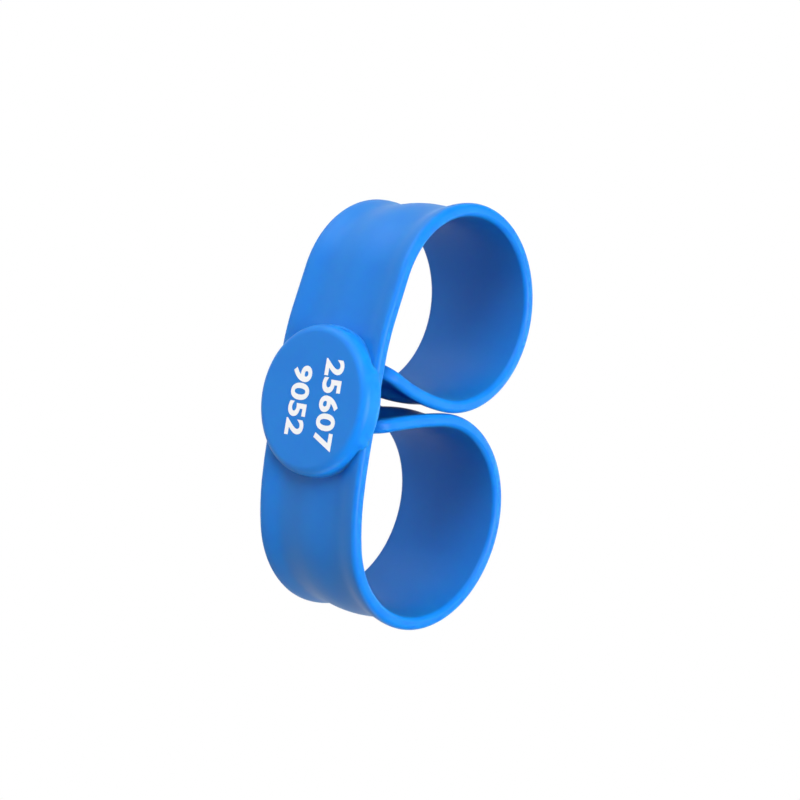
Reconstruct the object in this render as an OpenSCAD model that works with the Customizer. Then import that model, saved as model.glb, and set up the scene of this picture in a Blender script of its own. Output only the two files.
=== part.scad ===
// Slap bracelet: a flat silicone band curled into two loops, with a round disc on its outer face.
// It lies on its side. +X runs along the front of the band, +Y to the back of the loops, +Z up.

/* [Band] */
// Width of the band, which stands upright here
band_w = 25; // [20:0.5:30]
// Thickness of the band at its two rims
rim_t = 2.4; // [2:0.1:2.4]
// Radius of the rounded corners of the rims
rim_r = 0.95; // [0.5:0.05:0.95]
// Depth of the two shallow grooves beside the rims, on the outer face
groove_depth = 0.85; // [0:0.05:1.2]
// Distance from the edge of the band to the bottom of a groove
groove_in = 5.7; // [3:0.1:6]
// Depth of the low crown between the grooves, below the rims
crown_depth = 0.35; // [0:0.05:0.6]
// Half the width of the flat top of the crown
crown_half = 0.3; // [0.3:0.1:5]
// Radius of the rounded corners at the two ends of the band
end_r = 4; // [2:0.5:8]

/* [Disc] */
// Diameter of the disc, a little more than the width of the band
disc_d = 27; // [26:0.1:30]
// Height of the disc above the rims of the band
disc_h = 2.6; // [2.3:0.1:5]
// Radius of its rounded outer edge
disc_edge = 1.7; // [0.5:0.1:2.3]
// Radius of the rounded lip that its side wall ends in, level with the back of the band
lip_r = 1.7; // [0.5:0.1:2]
// Clearance between the disc and the band, all round the slot in its back
seat_gap = 0.1; // [0.05:0.05:0.3]

/* [Hidden] */

// Columns of the two tables of stretches: length along the middle of the band, and degrees that it turns
LENGTH = 0;
TURN = 1;
// Stretches of each half of the band, from the middle of the disc to the end
left_half = [
    [8, 0],
    [7.5, 9.7],
    [9, 2.1],
    [26.9, 83.9],
    [29.1, 93.8],
    [26.8, 83.3],
    [17.6, 24]
];
right_half = [
    [8, 0],
    [8, 5.3],
    [8.5, 11.2],
    [27.4, 86.1],
    [27.2, 79],
    [29.7, 94.8],
    [17.6, 9.6]
];

// Degrees between two rings of the band where it bends and round the corners of its ends, the least
// distance between two rings, and the steps on a quarter of a rim
ring_turn = 8;
end_turn = 22.5;
ring_gap = 0.5;
rim_steps = 3;
// Facets of a small round edge and of the disc
edge_facets = 96;
disc_facets = 128;
// Distance from the ends over which the dish of the outer face fades out
end_fade = 8.5;

// A state on the middle line of the band is its place, its heading and its distance along the line
X = 0;
Y = 1;
HEADING = 2;
ALONG = 3;

// The state reached by going a length from a state while turning evenly
function advance(s, length, turn) =
    abs(turn) < 0.001
        ? [s[X] + length * cos(s[HEADING]), s[Y] + length * sin(s[HEADING]), s[HEADING], s[ALONG] + length]
        : let (r = length / turn * 180 / PI, h = s[HEADING] + turn)
            [
                s[X] + r * (sin(h) - sin(s[HEADING])),
                s[Y] - r * (cos(h) - cos(s[HEADING])),
                h,
                s[ALONG] + length
            ];

// The state at the start of a row of a table
function row_start(half, row) =
    row == 0 ? [0, 0, 0, 0] : advance(row_start(half, row - 1), half[row - 1][LENGTH], half[row - 1][TURN]);

function half_length(half) = row_start(half, len(half))[ALONG];

// The state at a distance along a half
function state_at(half, along, row = 0) =
    let (s = row_start(half, row), part = along - s[ALONG])
    part <= half[row][LENGTH] || row == len(half) - 1
        ? advance(s, part, half[row][TURN] * part / half[row][LENGTH])
        : state_at(half, along, row + 1);

// Distances along a half at which the band has a ring: through its bends, then round its end
function row_rings(half, row) =
    let (steps = max(1, ceil(half[row][TURN] / ring_turn)), from = row_start(half, row)[ALONG])
    [for (i = [0:steps - 1]) from + half[row][LENGTH] * i / steps];
function end_rings(half) =
    let (total = half_length(half))
    [for (a = [0:end_turn:90]) total - end_r * (1 - sin(a))];
function rings(half) =
    concat(
        [for (row = [0:len(half) - 1], along = row_rings(half, row))
            if (along < half_length(half) - end_r - ring_gap) along],
        end_rings(half)
    );

// Depth of the outer face below the rims, at a height from the middle of the band
function ease(u) = (1 - cos(180 * u)) / 2;
function lerp(a, b, u) = a + (b - a) * u;
function dish(h) =
    let (groove = band_w / 2 - groove_in, edge = band_w / 2 - rim_r)
    h < crown_half ? crown_depth
    : h < groove ? lerp(crown_depth, groove_depth, ease((h - crown_half) / (groove - crown_half)))
    : lerp(groove_depth, 0, ease((h - groove) / (edge - groove)));

// Heights at which the outer face has points
function face_heights() =
    let (groove = band_w / 2 - groove_in, edge = band_w / 2 - rim_r)
    [
        crown_half,
        for (part = [1:3]) lerp(crown_half, groove, part / 3),
        for (part = [1:2]) lerp(groove, edge, part / 3)
    ];

// Half the width, half the thickness and the share of the dish at a distance from the end of the band
function half_width(d) =
    d > end_r ? band_w / 2 : band_w / 2 - end_r + sqrt(max(0, end_r * end_r - (end_r - d) * (end_r - d)));
function half_thickness(d) =
    d > rim_r ? rim_t / 2 : rim_t / 2 - rim_r + sqrt(max(0, rim_r * rim_r - (rim_r - d) * (rim_r - d)));
function dish_share(d) = ease(min(1, d / end_fade));

// One section of the band, as points [out, up] from its middle line, at a distance d from the end
function corner(out, up, from) =
    [for (i = [0:rim_steps])
        let (a = from + 90 * i / rim_steps)
        [out + rim_r * cos(a), up + rim_r * sin(a)]];
function section(d) =
    let (
        up = half_width(d) - rim_r,
        squeeze = up / (band_w / 2 - rim_r),
        flat = half_thickness(d) / (rim_t / 2),
        out = rim_t / 2 - rim_r,
        face = [for (h = face_heights()) [rim_t / 2 - dish(h) * dish_share(d), h * squeeze]],
        points = concat(
            corner(-out, -up, 180),
            corner(out, -up, 270),
            [for (i = [len(face) - 1:-1:0]) [face[i][0], -face[i][1]]],
            face,
            corner(out, up, 0),
            corner(-out, up, 90)
        )
    )
    [for (p = points) [p[0] * flat, p[1]]];

// The section carried to its place on the right half (side 1) or the left half (side -1)
function ring(half, side, along) =
    let (s = state_at(half, along), d = half_length(half) - along)
    [for (p = section(d))
        [side * (s[X] + p[0] * sin(s[HEADING])), s[Y] - p[0] * cos(s[HEADING]), band_w / 2 + p[1]]];

left_rings = rings(left_half);
right_rings = rings(right_half);
band_rings = concat(
    [for (i = [len(left_rings) - 1:-1:1]) ring(left_half, -1, left_rings[i])],
    [for (along = right_rings) ring(right_half, 1, along)]
);
ring_points = len(band_rings[0]);
band_points = [for (r = band_rings, p = r) p];

// How the bracelet rests on its side: on the lower lip of the disc, which is wider than the band, and on
// the backs of the two loops, so that its front stands a little higher than its back
disc_drop = (disc_d - band_w) / 2;
lip_y = rim_t / 2 - lip_r;
back_y = max([for (p = band_points) p[1]]) - rim_r;
rest_tilt = atan(disc_drop / (back_y - lip_y));
floor_z = -lip_y * sin(rest_tilt) + (lip_r - disc_drop) * cos(rest_tilt) - lip_r;

// The box of the tilted bracelet, whose lowest middle is the origin
tilted_y = [for (p = band_points) p[1] * cos(rest_tilt) + p[2] * sin(rest_tilt)];
front_edge = [disc_edge - rim_t / 2 - disc_h, disc_edge - disc_drop];
front_y = front_edge[0] * cos(rest_tilt) + front_edge[1] * sin(rest_tilt) - disc_edge;
middle_x = (max([for (p = band_points) p[0]]) + min([for (p = band_points) p[0]])) / 2;
middle_y = (max(tilted_y) + front_y) / 2;

module at_rest() {
    translate([-middle_x, -middle_y, -floor_z])
        rotate([-rest_tilt, 0, 0])
            children();
}

// The band: one skin over its rings, with a flat cap in each end
module band() {
    last = len(band_rings) - 1;
    sides = [for (r = [0:last - 1], i = [0:ring_points - 1])
        let (a = r * ring_points + i, b = r * ring_points + (i + 1) % ring_points)
        each [[a, b, a + ring_points], [b, b + ring_points, a + ring_points]]];
    caps = [[for (i = [ring_points - 1:-1:0]) i], [for (i = [0:ring_points - 1]) last * ring_points + i]];
    color("dodgerblue")
        at_rest()
            polyhedron(band_points, concat(sides, caps), convexity = 8);
}

// The disc: half of its outline from the band's back to its flat face, turned round its axis, with a slot
// across its back that the band lies in
module disc_outline() {
    height = rim_t + disc_h;
    radius = disc_d / 2;
    square([radius - disc_edge, height]);
    square([radius - lip_r, height - disc_edge]);
    translate([0, lip_r])
        square([radius, height - disc_edge - lip_r]);
    translate([radius - disc_edge, height - disc_edge])
        intersection() {
            circle(disc_edge, $fn = edge_facets);
            square(disc_edge);
        }
    translate([radius - lip_r, lip_r])
        intersection() {
            circle(lip_r, $fn = edge_facets);
            translate([0, -lip_r])
                square(lip_r);
        }
}

module disc() {
    slot_depth = rim_t + seat_gap;
    color("dodgerblue")
        at_rest()
            translate([0, rim_t / 2, band_w / 2])
                difference() {
                    rotate([90, 0, 0])
                        rotate_extrude($fn = disc_facets)
                            disc_outline();
                    translate([-disc_d, -slot_depth, -band_w / 2 - seat_gap])
                        cube([2 * disc_d, 2 * slot_depth, band_w + 2 * seat_gap]);
                }
}

band();
disc();
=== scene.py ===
"""Looks of a slap bracelet: a silicone band curled into two loops, with a round disc on its front.

The pieces are modelled in millimetres with the bracelet upright, the front of the band along +X and its
width along +Z, and are then laid down and scaled to metres by the matrix of Rest.
"""

import logging
import math
from dataclasses import dataclass, field
from enum import Enum

import bmesh
import bpy
from mathutils import Matrix, Vector


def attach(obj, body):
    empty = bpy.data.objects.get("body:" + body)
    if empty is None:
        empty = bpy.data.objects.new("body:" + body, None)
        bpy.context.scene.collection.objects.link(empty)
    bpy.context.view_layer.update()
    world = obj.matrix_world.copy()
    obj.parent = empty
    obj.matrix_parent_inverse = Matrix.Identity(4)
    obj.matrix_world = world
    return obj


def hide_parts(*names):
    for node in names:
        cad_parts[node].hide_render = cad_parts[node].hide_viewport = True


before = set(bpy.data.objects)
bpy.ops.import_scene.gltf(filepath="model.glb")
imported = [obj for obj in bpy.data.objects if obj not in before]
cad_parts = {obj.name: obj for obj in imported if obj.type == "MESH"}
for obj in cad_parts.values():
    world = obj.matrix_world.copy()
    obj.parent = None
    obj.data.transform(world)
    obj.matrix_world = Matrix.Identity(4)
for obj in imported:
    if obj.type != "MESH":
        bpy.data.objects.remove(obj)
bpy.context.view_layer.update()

BODY = "root"
MILLIMETRE = 0.001
TOUCH = 0.001  # millimetres within which two heights count as the same
MERGE_DISTANCE = 0.0005  # millimetres within which two vertices become one
UP = Vector((0.0, 0.0, 1.0))
log = logging.getLogger("bracelet")


class Slot(Enum):
    """Material slots of the pieces."""

    BAND = "band_silicone"
    DISC = "disc_silicone"
    PRINT = "print"


class Side(Enum):
    """The two halves of the band, by the sign of the X that each runs towards."""

    LEFT = -1
    RIGHT = 1


class Value:
    """A number that varies over a surface. Arithmetic on it adds Math nodes."""

    def __init__(self, graph: "Graph", socket: bpy.types.NodeSocket) -> None:
        """Wraps a socket.

        Args:
            graph: The graph that the socket belongs to.
            socket: An output socket that carries a number.
        """
        self.graph = graph
        self.socket = socket

    def __add__(self, other: "Value | float") -> "Value":
        """Sum of two values."""
        return self.graph.math("ADD", self, other)

    def __sub__(self, other: "Value | float") -> "Value":
        """Difference of two values."""
        return self.graph.math("SUBTRACT", self, other)

    def __mul__(self, other: "Value | float") -> "Value":
        """Product of two values."""
        return self.graph.math("MULTIPLY", self, other)

    __radd__ = __add__
    __rmul__ = __mul__


class Graph:
    """The node graph of one material."""

    def __init__(self, name: str) -> None:
        """Starts a material with a single shader.

        Args:
            name: Name of the material.
        """
        self.material = bpy.data.materials.new(name)
        self.material.use_nodes = True
        self.tree = self.material.node_tree
        self.tree.nodes.clear()
        self.coordinates = self.node("ShaderNodeTexCoord").outputs["Object"]

    def node(self, kind: str, settings: dict | None = None, inputs: dict | None = None) -> bpy.types.Node:
        """Adds a node.

        Args:
            kind: Type of the node.
            settings: Properties of the node, which are set first.
            inputs: Values or sockets for its inputs, by name or number.

        Returns:
            The node.
        """
        made = self.tree.nodes.new(kind)
        for key, setting in (settings or {}).items():
            setattr(made, key, setting)
        for key, source in (inputs or {}).items():
            if isinstance(source, Value):
                source = source.socket
            if isinstance(source, bpy.types.NodeSocket):
                self.tree.links.new(source, made.inputs[key])
            else:
                made.inputs[key].default_value = source
        return made

    def math(self, operation: str, first: "Value | float", second: "Value | float") -> Value:
        """Adds a Math node.

        Args:
            operation: Its operation.
            first: First number.
            second: Second number.

        Returns:
            The result.
        """
        made = self.node("ShaderNodeMath", {"operation": operation}, {0: first, 1: second})
        return Value(self, made.outputs[0])

    def noise(self, scale: float, detail: float, roughness: float = 0.5) -> Value:
        """Adds a noise about zero.

        Args:
            scale: Cells for each metre.
            detail: Number of finer layers.
            roughness: Share of the finer layers.

        Returns:
            The noise, from about -0.5 to 0.5.
        """
        made = self.node(
            "ShaderNodeTexNoise",
            {"noise_dimensions": "3D", "normalize": True},
            {"Vector": self.coordinates, "Scale": scale, "Detail": detail, "Roughness": roughness},
        )
        return Value(self, made.outputs[0]) - 0.5

    def blend(self, share: Value, low: tuple, high: tuple) -> bpy.types.NodeSocket:
        """Mixes two colours.

        Args:
            share: How much of the second colour there is.
            low: First colour.
            high: Second colour.

        Returns:
            The socket of the colour.
        """
        made = self.node("ShaderNodeMix", {"data_type": "RGBA"}, {"Factor": share})
        made.inputs[6].default_value = (*low, 1.0)
        made.inputs[7].default_value = (*high, 1.0)
        return made.outputs[2]

    def bump(self, height: Value, distance: float) -> bpy.types.NodeSocket:
        """Adds a bump.

        Args:
            height: Height of the surface, in parts of the distance.
            distance: Distance in metres.

        Returns:
            The socket of the normal.
        """
        made = self.node("ShaderNodeBump", inputs={"Strength": 1.0, "Distance": distance, "Height": height})
        return made.outputs[0]

    def close(self, inputs: dict) -> bpy.types.Material:
        """Adds the shader and the output.

        Args:
            inputs: Values or sockets of the shader, by name.

        Returns:
            The finished material.
        """
        shader = self.node("ShaderNodeBsdfPrincipled", inputs=inputs)
        self.node("ShaderNodeOutputMaterial", inputs={"Surface": shader.outputs[0]})
        return self.material


@dataclass(frozen=True)
class Silicone:
    """Satin moulded silicone, a little cloudy, with the fine grain of its mould."""

    name: str
    deep: tuple[float, float, float]
    pale: tuple[float, float, float]
    roughness: float
    grain: float
    gloss: float = 0.14
    milkiness: float = 1.0
    reach: tuple[float, float, float] = (0.6, 0.8, 0.8)
    reach_scale: float = 0.5
    cloud_cells: float = 70.0
    mottle_cells: float = 520.0
    grain_cells: float = 3200.0
    grain_height: float = 0.02

    def material(self) -> bpy.types.Material:
        """Builds the material.

        Returns:
            The material.
        """
        graph = Graph(self.name)
        cloud = graph.noise(self.cloud_cells, 2.0)
        mottle = graph.noise(self.mottle_cells, 3.0)
        grain = graph.noise(self.grain_cells, 2.0, 0.6)
        share = 0.5 + 1.1 * cloud + 0.45 * mottle + 0.3 * grain
        height = 0.35 * mottle + self.grain * grain
        return graph.close(
            {
                "Base Color": graph.blend(share, self.deep, self.pale),
                "Roughness": self.roughness + 0.10 * mottle + 0.06 * cloud,
                "Normal": graph.bump(height, self.grain_height * MILLIMETRE),
                "Specular IOR Level": self.gloss,
                "Subsurface Weight": self.milkiness,
                "Subsurface Radius": self.reach,
                "Subsurface Scale": self.reach_scale * MILLIMETRE,
            }
        )


@dataclass(frozen=True)
class PrintInk:
    """Opaque white ink, printed on the silicone."""

    name: str
    colour: tuple[float, float, float]
    thin: tuple[float, float, float]
    roughness: float = 0.5
    refraction: float = 1.45
    mottle_cells: float = 900.0
    grain_cells: float = 4200.0
    grain_height: float = 0.01

    def material(self) -> bpy.types.Material:
        """Builds the material.

        Returns:
            The material.
        """
        graph = Graph(self.name)
        mottle = graph.noise(self.mottle_cells, 3.0)
        grain = graph.noise(self.grain_cells, 2.0, 0.6)
        return graph.close(
            {
                "Base Color": graph.blend(0.25 + 0.9 * mottle + 0.5 * grain, self.colour, self.thin),
                "Roughness": self.roughness + 0.15 * mottle,
                "Normal": graph.bump(0.5 * mottle + grain, self.grain_height * MILLIMETRE),
                "IOR": self.refraction,
            }
        )


@dataclass(frozen=True)
class Rest:
    """How the bracelet lies: on the lip of its disc and on the backs of its loops."""

    tilt: float = 1.446535
    middle_x: float = -0.779495
    middle_y: float = 18.4315
    floor_z: float = -0.987601

    def matrix(self) -> Matrix:
        """Matrix from the upright bracelet in millimetres to the part's own frame in metres.

        Returns:
            The matrix.
        """
        move = Matrix.Translation((-self.middle_x, -self.middle_y, -self.floor_z))
        turn = Matrix.Rotation(-math.radians(self.tilt), 4, "X")
        return Matrix.Scale(MILLIMETRE, 4) @ move @ turn


@dataclass(frozen=True)
class Stretch:
    """A stretch of the band that bends evenly: its length, and the degrees that it turns."""

    length: float
    turn: float


@dataclass
class Ring:
    """One section of the band, and the frame that it lies in: X outwards, Y along the band, Z up."""

    edges: list[bmesh.types.BMEdge]
    place: Matrix
    from_end: float = math.inf

    def verts(self) -> list[bmesh.types.BMVert]:
        """Vertices of the ring."""
        return list({vert for edge in self.edges for vert in edge.verts})


def ease(share: float) -> float:
    """Smooth step from 0 to 1."""
    return (1.0 - math.cos(math.pi * share)) / 2.0


def finish_piece(mesh: bmesh.types.BMesh, name: str, rest: Matrix) -> bpy.types.Object:
    """Merges a mesh's doubles, turns its faces outwards, lays it down and makes it an object.

    Args:
        mesh: The mesh, upright and in millimetres.
        name: Name of the piece.
        rest: Matrix to the part's frame.

    Returns:
        The object.
    """
    bmesh.ops.remove_doubles(mesh, verts=mesh.verts, dist=MERGE_DISTANCE)
    bmesh.ops.recalc_face_normals(mesh, faces=mesh.faces)
    bmesh.ops.transform(mesh, matrix=rest, verts=mesh.verts)
    for face in mesh.faces:
        face.smooth = True
    data = bpy.data.meshes.new(name)
    mesh.to_mesh(data)
    mesh.free()
    made = bpy.data.objects.new(name, data)
    bpy.context.scene.collection.objects.link(made)
    return made


def hand_over(piece: bpy.types.Object, material: bpy.types.Material, slot: Slot, node: str | None) -> None:
    """Dresses a piece, hangs it on its body and hides the CAD node that it stands for.

    Args:
        piece: The piece.
        material: Its material.
        slot: Its material slot, which goes into the log.
        node: The CAD node that it stands for, if it stands for one.
    """
    piece.data.materials.clear()
    piece.data.materials.append(material)
    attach(piece, BODY)
    if node:
        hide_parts(node)
    log.info("%s: %d faces, slot %s", piece.name, len(piece.data.polygons), slot.value)


@dataclass
class Band:
    """The silicone strip, swept from the middle of the disc to both of its ends."""

    width: float = 25.0
    thickness: float = 2.4
    rim_radius: float = 0.95
    rim_segments: int = 12
    groove_depth: float = 0.85
    groove_in: float = 5.7
    crown_depth: float = 0.35
    crown_half: float = 0.3
    face_cuts: int = 45
    line_angle: float = 15.0
    line_height: float = 0.04
    line_reach: float = 0.05
    end_radius: float = 4.0
    end_fade: float = 8.5
    end_step: float = 6.0
    fade_step: float = 0.5
    ring_turn: float = 3.0
    plain_steps: int = 8
    halves: dict[Side, tuple[Stretch, ...]] = field(
        default_factory=lambda: {
            Side.LEFT: (
                Stretch(8.0, 0.0),
                Stretch(7.5, 9.7),
                Stretch(9.0, 2.1),
                Stretch(26.9, 83.9),
                Stretch(29.1, 93.8),
                Stretch(26.8, 83.3),
                Stretch(17.6, 24.0),
            ),
            Side.RIGHT: (
                Stretch(8.0, 0.0),
                Stretch(8.0, 5.3),
                Stretch(8.5, 11.2),
                Stretch(27.4, 86.1),
                Stretch(27.2, 79.0),
                Stretch(29.7, 94.8),
                Stretch(17.6, 9.6),
            ),
        }
    )

    def dish(self, height: float) -> float:
        """Depth of the outer face below the rims.

        Args:
            height: Height from the middle of the band.

        Returns:
            The depth.
        """
        groove = self.width / 2.0 - self.groove_in
        edge = self.width / 2.0 - self.rim_radius
        if height < self.crown_half:
            return self.crown_depth
        if height < groove:
            share = ease((height - self.crown_half) / (groove - self.crown_half))
            return self.crown_depth + (self.groove_depth - self.crown_depth) * share
        return self.groove_depth * (1.0 - ease((height - groove) / (edge - groove)))

    def section(self, mesh: bmesh.types.BMesh) -> Ring:
        """Makes the section at the middle of the disc.

        Args:
            mesh: The mesh that it goes into.

        Returns:
            The ring of its edges.
        """
        half_t = self.thickness / 2.0
        half_w = self.width / 2.0
        verts = bmesh.ops.create_grid(mesh, x_segments=1, y_segments=1, size=1.0)["verts"]
        bmesh.ops.scale(mesh, vec=(half_t, half_w, 1.0), verts=verts)
        bmesh.ops.bevel(
            mesh,
            geom=verts,
            offset=self.rim_radius,
            offset_type="OFFSET",
            segments=self.rim_segments,
            profile=0.5,
            affect="VERTICES",
            material=-1,
        )
        bmesh.ops.delete(mesh, geom=list(mesh.faces), context="FACES_ONLY")
        long_edges = [edge for edge in mesh.edges if edge.calc_length() > half_w]
        bmesh.ops.subdivide_edges(mesh, edges=long_edges, cuts=self.face_cuts)
        face_top = half_w - self.rim_radius
        for vert in mesh.verts:
            if vert.co.x > half_t - TOUCH and abs(vert.co.y) < face_top - TOUCH:
                vert.co.x -= self.dish(abs(vert.co.y))
        self.raise_line(mesh)
        stand = Matrix(((0, 0, 1, 0), (-1, 0, 0, 0), (0, 1, 0, half_w), (0, 0, 0, 1)))
        bmesh.ops.transform(mesh, matrix=stand, verts=mesh.verts)
        place = Matrix(((0, 1, 0, 0), (-1, 0, 0, 0), (0, 0, 1, half_w), (0, 0, 0, 1)))
        return Ring(list(mesh.edges), place)

    def raise_line(self, mesh: bmesh.types.BMesh) -> None:
        """Raises the fine parting line that the mould leaves along each rim, nearer its inner face.

        Args:
            mesh: The flat section, with X outwards.
        """
        angle = math.radians(self.line_angle)
        out = -self.thickness / 2.0 + self.rim_radius * (1.0 - math.sin(angle))
        up = self.width / 2.0 - self.rim_radius * (1.0 - math.cos(angle))
        for vert in mesh.verts:
            if math.hypot(vert.co.x - out, abs(vert.co.y) - up) < self.line_reach:
                lift = Vector((-math.sin(angle), math.copysign(math.cos(angle), vert.co.y), 0.0))
                bmesh.ops.translate(mesh, vec=lift * self.line_height, verts=[vert])

    def sweep(self, mesh: bmesh.types.BMesh, ring: Ring, stretch: Stretch, side: Side, steps: int) -> Ring:
        """Sweeps a ring along a stretch.

        Args:
            mesh: The mesh.
            ring: The ring to start from.
            stretch: The stretch.
            side: The half that it is part of.
            steps: Number of sections on the way.

        Returns:
            The ring at the end of the stretch.
        """
        start = ring.place.to_translation()
        if not stretch.turn:
            along = ring.place.to_3x3() @ Vector((0.0, side.value * stretch.length, 0.0))
            made = bmesh.ops.extrude_edge_only(mesh, edges=ring.edges)["geom"]
            verts = [item for item in made if isinstance(item, bmesh.types.BMVert)]
            bmesh.ops.translate(mesh, vec=along, verts=verts)
            edges = [edge for edge in made if isinstance(edge, bmesh.types.BMEdge)]
            edges = [edge for edge in edges if all(vert in verts for vert in edge.verts)]
            return Ring(edges, Matrix.Translation(along) @ ring.place)
        angle = math.radians(stretch.turn)
        outwards = ring.place.to_3x3() @ Vector((1.0, 0.0, 0.0))
        centre = start - outwards * (stretch.length / angle)
        turn = side.value * angle
        made = bmesh.ops.spin(
            mesh,
            geom=ring.edges,
            cent=centre,
            axis=UP,
            angle=turn,
            steps=steps,
            use_merge=False,
        )["geom_last"]
        edges = [edge for edge in made if isinstance(edge, bmesh.types.BMEdge)]
        move = Matrix.Translation(centre) @ Matrix.Rotation(turn, 4, "Z") @ Matrix.Translation(-centre)
        return Ring(edges, move @ ring.place)

    def end_distances(self) -> list[float]:
        """Distances from the end of the band at which it has the sections of its rounded end.

        Returns:
            The distances, from the largest to 0.
        """
        fading = round((self.end_fade - self.end_radius) / self.fade_step)
        distances = {self.end_radius + self.fade_step * i for i in range(fading + 1)}
        count = round(90.0 / self.end_step)
        for i in range(count + 1):
            share = 1.0 - math.sin(math.radians(self.end_step * i))
            distances.add(self.end_radius * share)
            distances.add(self.rim_radius * share)
        return sorted(distances, reverse=True)

    def shape_end(self, mesh: bmesh.types.BMesh, ring: Ring) -> None:
        """Fades the dish of a ring near the end, and rounds its corner and its rim.

        Args:
            mesh: The mesh.
            ring: The ring.
        """
        half_t = self.thickness / 2.0
        half_w = self.width / 2.0
        distance = ring.from_end
        inverse = ring.place.inverted()
        fade = ease(min(1.0, distance / self.end_fade))
        top = half_w - self.rim_radius - TOUCH
        local = {vert: inverse @ vert.co for vert in ring.verts()}
        face = [vert for vert, co in local.items() if co.x > 0.0 and abs(co.z) < top]
        flatten = Matrix.Diagonal((fade, 1.0, 1.0, 1.0))
        to_rims = Matrix.Translation((half_t * (1.0 - fade), 0.0, 0.0)) @ flatten
        bmesh.ops.transform(mesh, matrix=ring.place @ to_rims @ inverse, verts=face)

        def rounded(half: float, radius: float) -> float:
            """Share of a half size that is left at this distance, where it is rounded with a radius."""
            if distance >= radius:
                return 1.0
            return (half - radius + math.sqrt(radius**2 - (radius - distance) ** 2)) / half

        squeeze = Matrix.Diagonal((rounded(half_t, self.rim_radius), 1, rounded(half_w, self.end_radius), 1))
        bmesh.ops.transform(mesh, matrix=ring.place @ squeeze @ inverse, verts=ring.verts())

    def sweep_half(self, mesh: bmesh.types.BMesh, first: Ring, side: Side) -> None:
        """Sweeps one half of the band and closes its end.

        Args:
            mesh: The mesh.
            first: The section at the middle of the disc.
            side: The half.
        """
        ring = first
        *bends, last = self.halves[side]
        for stretch in bends:
            ring = self.sweep(mesh, ring, stretch, side, max(1, math.ceil(stretch.turn / self.ring_turn)))
        distances = self.end_distances()
        rate = last.turn / last.length
        plain = last.length - distances[0]
        ring = self.sweep(mesh, ring, Stretch(plain, plain * rate), side, self.plain_steps)
        ring.from_end = distances[0]
        rings = [ring]
        for distance in distances[1:]:
            step = ring.from_end - distance
            ring = self.sweep(mesh, ring, Stretch(step, step * rate), side, 1)
            ring.from_end = distance
            rings.append(ring)
        for ring in rings:
            self.shape_end(mesh, ring)
        bmesh.ops.holes_fill(mesh, edges=rings[-1].edges, sides=0)

    def build(self, rest: Matrix) -> bpy.types.Object:
        """Builds the band.

        Args:
            rest: Matrix to the part's frame.

        Returns:
            The object.
        """
        mesh = bmesh.new()
        first = self.section(mesh)
        self.sweep_half(mesh, first, Side.RIGHT)
        self.sweep_half(mesh, first, Side.LEFT)
        return finish_piece(mesh, "silicone_band", rest)

    def dress(self, piece: bpy.types.Object, finish: Silicone) -> None:
        """Gives the band its finish.

        Args:
            piece: The band.
            finish: The finish.
        """
        hand_over(piece, finish.material(), Slot.BAND, "band")


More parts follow.
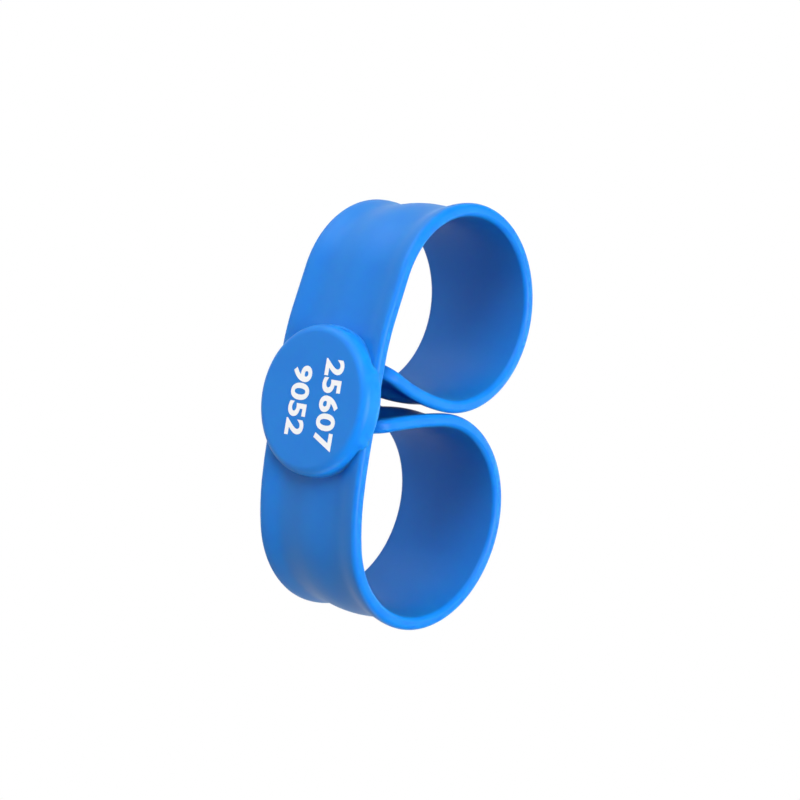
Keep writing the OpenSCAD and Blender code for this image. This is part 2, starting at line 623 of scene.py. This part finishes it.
@dataclass
class Disc:
    """The round disc on the front of the band, whose sides reach back over the band's rims."""

    diameter: float = 27.0
    height: float = 2.6
    edge_radius: float = 1.7
    lip_radius: float = 1.7
    back_in: float = 0.05
    edge_segments: int = 20
    face_cuts: int = 30
    wall_cuts: int = 20
    foot_radius: float = 0.2
    shoulder_radius: float = 6.0
    shoulder_start: float = 0.7
    shoulder_rise: float = 1.9
    shoulder_fade: float = 10.0
    sharp_angle: float = 35.0
    steps: int = 240

    def outline(self, mesh: bmesh.types.BMesh, depth: float) -> list[bmesh.types.BMEdge]:
        """Makes half of the disc's outline in the plane of X and Y, around the axis Y.

        Args:
            mesh: The mesh.
            depth: Depth of the disc from its face to its back.

        Returns:
            The edges of the outline.
        """
        radius = self.diameter / 2.0
        verts = bmesh.ops.create_grid(mesh, x_segments=1, y_segments=1, size=0.5)["verts"]
        bmesh.ops.translate(mesh, vec=(0.5, 0.5, 0.0), verts=verts)
        bmesh.ops.scale(mesh, vec=(radius, depth, 1.0), verts=verts)
        for height, offset in ((0.0, self.edge_radius), (depth, self.lip_radius)):
            outer = [v for v in mesh.verts if v.co.x > radius - TOUCH]
            corner = [v for v in outer if abs(v.co.y - height) < TOUCH]
            bmesh.ops.bevel(
                mesh,
                geom=corner,
                offset=offset,
                offset_type="OFFSET",
                segments=self.edge_segments,
                profile=0.5,
                affect="VERTICES",
                material=-1,
            )
        bmesh.ops.delete(mesh, geom=list(mesh.faces), context="FACES_ONLY")
        flat = [e for e in mesh.edges if all(v.co.y < TOUCH for v in e.verts) and e.calc_length() > 1.0]
        bmesh.ops.subdivide_edges(mesh, edges=flat, cuts=self.face_cuts)
        wall = [e for e in mesh.edges if all(v.co.x > radius - TOUCH for v in e.verts)]
        bmesh.ops.subdivide_edges(mesh, edges=wall, cuts=self.wall_cuts)
        axis = [e for e in mesh.edges if all(v.co.x < TOUCH for v in e.verts)]
        bmesh.ops.delete(mesh, geom=axis, context="EDGES")
        return list(mesh.edges)

    def shoulder(self, turn: float, band: Band) -> float:
        """How far the outline stands out from its circle where it runs into a rim in a soft curve.

        Args:
            turn: Angle from the line across the band.
            band: The band's sizes.

        Returns:
            The distance.
        """
        radius = self.diameter / 2.0
        rim = band.width / 2.0
        up = rim + self.shoulder_radius
        along = math.sqrt((radius + self.shoulder_radius) ** 2 - up**2)
        first = math.atan2(along, up)
        last = math.atan2(along, rim)
        if turn <= first:
            return 0.0
        if turn <= last:
            nearest = along * math.sin(turn) + up * math.cos(turn)
            return nearest - math.sqrt(nearest**2 - along**2 - up**2 + self.shoulder_radius**2) - radius
        fade = min(1.0, (turn - last) / math.radians(self.shoulder_fade))
        return (math.hypot(along, rim) - radius) * (1.0 - ease(fade))

    def foot(self, depth: float, across: float, band: Band) -> float:
        """How far the side stands out where it meets the band in a fillet.

        Args:
            depth: Depth below the disc's face.
            across: Distance from the middle line of the band.
            band: The band's sizes.

        Returns:
            The distance.
        """
        over = across - (band.width / 2.0 - band.rim_radius)
        if over >= band.rim_radius:
            return 0.0
        surface = self.height
        if over < 0.0:
            surface += band.dish(across)
        else:
            surface += band.rim_radius - math.sqrt(band.rim_radius**2 - over**2)
        share = min(1.0, max(0.0, (surface - depth) / self.foot_radius))
        fade = 1.0 - ease(max(0.0, over / band.rim_radius))
        return fade * self.foot_radius * (1.0 - math.sqrt(1.0 - (1.0 - share) ** 2))

    def spread(self, mesh: bmesh.types.BMesh, band: Band) -> None:
        """Spreads the lower part of the side into its fillet and its shoulders.

        Args:
            mesh: The turned disc, with its face at 0 on the axis Y.
            band: The band's sizes.
        """
        lip = self.diameter / 2.0 - self.lip_radius
        for vert in mesh.verts:
            reach = math.hypot(vert.co.x, vert.co.z)
            if vert.co.y < self.shoulder_start or reach < lip - TOUCH:
                continue
            turn = math.atan2(abs(vert.co.x), abs(vert.co.z))
            rise = ease(min(1.0, (vert.co.y - self.shoulder_start) / self.shoulder_rise))
            out = rise * self.shoulder(turn, band) + self.foot(vert.co.y, abs(vert.co.z), band)
            vert.co.x *= 1.0 + out / reach
            vert.co.z *= 1.0 + out / reach

    def build(self, band: Band, band_piece: bpy.types.Object, rest: Matrix) -> bpy.types.Object:
        """Builds the disc, with a hollow in its back that fits the band.

        Args:
            band: The band's sizes.
            band_piece: The band that the disc is moulded on.
            rest: Matrix to the part's frame.

        Returns:
            The object.
        """
        mesh = bmesh.new()
        depth = self.height + band.thickness - self.back_in
        edges = self.outline(mesh, depth)
        bmesh.ops.spin(
            mesh,
            geom=edges,
            cent=(0.0, 0.0, 0.0),
            axis=(0.0, 1.0, 0.0),
            angle=math.tau,
            steps=self.steps,
            use_merge=True,
        )
        self.spread(mesh, band)
        front = -(self.height + band.thickness / 2.0)
        bmesh.ops.translate(mesh, vec=(0.0, front, band.width / 2.0), verts=mesh.verts)
        made = finish_piece(mesh, "silicone_disc", rest)
        cut = made.modifiers.new("seat", "BOOLEAN")
        cut.operation = "DIFFERENCE"
        cut.solver = "EXACT"
        cut.object = band_piece
        scene_state = bpy.context.evaluated_depsgraph_get()
        data = bpy.data.meshes.new_from_object(made.evaluated_get(scene_state))
        made.modifiers.clear()
        made.data = data
        data.set_sharp_from_angle(angle=math.radians(self.sharp_angle))
        return made

    def dress(self, piece: bpy.types.Object, finish: Silicone) -> None:
        """Gives the disc its finish.

        Args:
            piece: The disc.
            finish: The finish.
        """
        hand_over(piece, finish.material(), Slot.DISC, "disc")


@dataclass(frozen=True)
class Row:
    """A row of the print: its digits, and its middle from the middle of the disc."""

    digits: str
    across: float
    up: float


@dataclass
class Numbers:
    """Two rows of plain numbers, printed on the disc."""

    rows: tuple[Row, ...] = (Row("25607", 0.3, 4.7), Row("9052", 0.55, -2.9))
    size: float = 6.1
    bold: float = 0.18
    spacing: float = 1.05
    proud: float = 0.03
    curve_steps: int = 8

    def build(self, band: Band, disc: Disc, rest: Matrix) -> bpy.types.Object:
        """Builds the print.

        Args:
            band: The band's sizes.
            disc: The disc's sizes.
            rest: Matrix to the part's frame.

        Returns:
            The object.
        """
        mesh = bmesh.new()
        front = -(disc.height + band.thickness / 2.0)
        for row in self.rows:
            curve = bpy.data.curves.new("row_of_digits", "FONT")
            curve.body = row.digits
            curve.size = self.size
            curve.align_x = "CENTER"
            curve.align_y = "CENTER"
            curve.offset = self.bold
            curve.space_character = self.spacing
            curve.extrude = self.proud
            curve.resolution_u = self.curve_steps
            text = bpy.data.objects.new("row_of_digits", curve)
            flat = bpy.data.meshes.new_from_object(text)
            bpy.data.objects.remove(text)
            bpy.data.curves.remove(curve)
            middle = (row.across, front, band.width / 2.0 + row.up)
            flat.transform(Matrix.Translation(middle) @ Matrix.Rotation(math.radians(90.0), 4, "X"))
            mesh.from_mesh(flat)
            bpy.data.meshes.remove(flat)
        made = finish_piece(mesh, "printed_numbers", rest)
        for polygon in made.data.polygons:
            polygon.use_smooth = False
        return made

    def dress(self, piece: bpy.types.Object, finish: PrintInk) -> None:
        """Gives the print its finish.

        Args:
            piece: The print.
            finish: The finish.
        """
        hand_over(piece, finish.material(), Slot.PRINT, None)


@dataclass(frozen=True)
class Softbox:
    """A square soft light that looks at the bracelet: where it hangs, its side and its power."""

    name: str
    place: tuple[float, float, float]
    side: float
    power: float


@dataclass
class Studio:
    """The white floor, the soft lights and the camera.

    The floor shows, and the silicone mirrors it faintly. The surroundings only show. All the other light
    comes from the softboxes, also from those below the floor.
    """

    floor_side: float = 6.0
    floor_squares: int = 8
    paper_white: float = 1.0
    lights: tuple[Softbox, ...] = (
        Softbox("top_light", (0.0, -0.02, 0.61), 0.3, 5.3),
        Softbox("side_light", (-0.574, -0.133, 0.128), 0.3, 0.4),
        Softbox("far_side_light", (0.6, 0.0, 0.034), 0.3, 1.1),
        Softbox("front_light", (-0.404, -0.404, 0.199), 0.3, 2.4),
        Softbox("back_light", (0.0, 0.564, 0.219), 0.3, 1.1),
        Softbox("low_side_light", (-0.493, -0.230, -0.240), 0.3, 1.1),
        Softbox("low_front_light", (0.0, -0.5, -0.15), 0.8, 1.4),
        Softbox("under_light", (0.0, 0.0, -0.15), 2.0, 0.9),
    )
    camera_place: tuple[float, float, float] = (-2.17769, -179.06286, 194.94278)
    camera_right: tuple[float, float, float] = (-0.167069, 0.666982, 0.726101)
    camera_down: tuple[float, float, float] = (0.985945, 0.113927, 0.122206)
    lens: float = 64.63
    sensor: float = 36.0
    nearest: float = 0.01

    def build_floor(self) -> None:
        """Lays the floor."""
        mesh = bmesh.new()
        squares = self.floor_squares
        bmesh.ops.create_grid(mesh, x_segments=squares, y_segments=squares, size=self.floor_side / 2.0)
        data = bpy.data.meshes.new("floor")
        mesh.to_mesh(data)
        mesh.free()
        floor = bpy.data.objects.new("floor", data)
        bpy.context.scene.collection.objects.link(floor)
        graph = Graph("white_floor")
        data.materials.append(
            graph.close(
                {
                    "Base Color": (0.0, 0.0, 0.0, 1.0),
                    "Roughness": 1.0,
                    "Specular IOR Level": 0.0,
                    "Emission Color": (1.0, 1.0, 1.0, 1.0),
                    "Emission Strength": self.paper_white,
                }
            )
        )
        floor.visible_diffuse = False
        floor.visible_shadow = False

    def build_lights(self) -> None:
        """Hangs the lights and sets the light of the surroundings."""
        for box in self.lights:
            data = bpy.data.lights.new(box.name, "AREA")
            data.shape = "SQUARE"
            data.size = box.side
            data.energy = box.power
            light = bpy.data.objects.new(box.name, data)
            light.location = box.place
            light.rotation_euler = Vector(box.place).to_track_quat("Z", "Y").to_euler()
            bpy.context.scene.collection.objects.link(light)
        world = bpy.data.worlds.new("studio")
        bpy.context.scene.world = world
        world.use_nodes = True
        background = world.node_tree.nodes["Background"]
        background.inputs["Color"].default_value = (1.0, 1.0, 1.0, 1.0)
        background.inputs["Strength"].default_value = self.paper_white
        world.cycles_visibility.diffuse = False
        world.cycles_visibility.glossy = False

    def build_camera(self, rest: Matrix) -> None:
        """Sets the camera at the viewing angle of the photograph.

        Args:
            rest: Matrix to the part's frame.
        """
        right = Vector(self.camera_right)
        up = -Vector(self.camera_down)
        back = right.cross(up)
        turned = Matrix((right, up, back)).transposed().to_4x4()
        upright = Matrix.Translation(self.camera_place) @ turned
        place, turn, _ = (rest @ upright).decompose()
        data = bpy.data.cameras.new("camera")
        data.lens = self.lens
        data.sensor_width = self.sensor
        data.clip_start = self.nearest
        camera = bpy.data.objects.new("camera", data)
        camera.matrix_world = Matrix.LocRotScale(place, turn, None)
        bpy.context.scene.collection.objects.link(camera)
        bpy.context.scene.camera = camera

    def build(self, rest: Matrix) -> None:
        """Builds the studio.

        Args:
            rest: Matrix to the part's frame.
        """
        self.build_camera(rest)
        self.build_floor()
        self.build_lights()
        bpy.context.scene.view_settings.view_transform = "Standard"


BLUE_BAND = Silicone("band_blue", (0.0050, 0.182, 0.600), (0.0064, 0.202, 0.650), 0.42, 0.4)
# The disc is moulded of the band's silicone; its colours are painted about a tenth lighter, as painted light
# standing in for the brighter light on the disc's face.
BLUE_DISC_PAINTED_LIGHTER = Silicone("disc_blue_painted_lighter", (0.0054, 0.206, 0.665), (0.0066, 0.222, 0.705), 0.42, 0.3)
WHITE_INK = PrintInk("white_ink", (0.92, 0.92, 0.92), (0.84, 0.87, 0.91))


def main() -> None:
    """Builds the studio and the bracelet."""
    logging.basicConfig(level=logging.INFO, format="%(name)s: %(message)s")
    rest = Rest().matrix()
    Studio().build(rest)
    band = Band()
    disc = Disc()
    numbers = Numbers()
    band_piece = band.build(rest)
    disc_piece = disc.build(band, band_piece, rest)
    print_piece = numbers.build(band, disc, rest)
    band.dress(band_piece, BLUE_BAND)
    disc.dress(disc_piece, BLUE_DISC_PAINTED_LIGHTER)
    numbers.dress(print_piece, WHITE_INK)


if __name__ == "__main__":
    main()
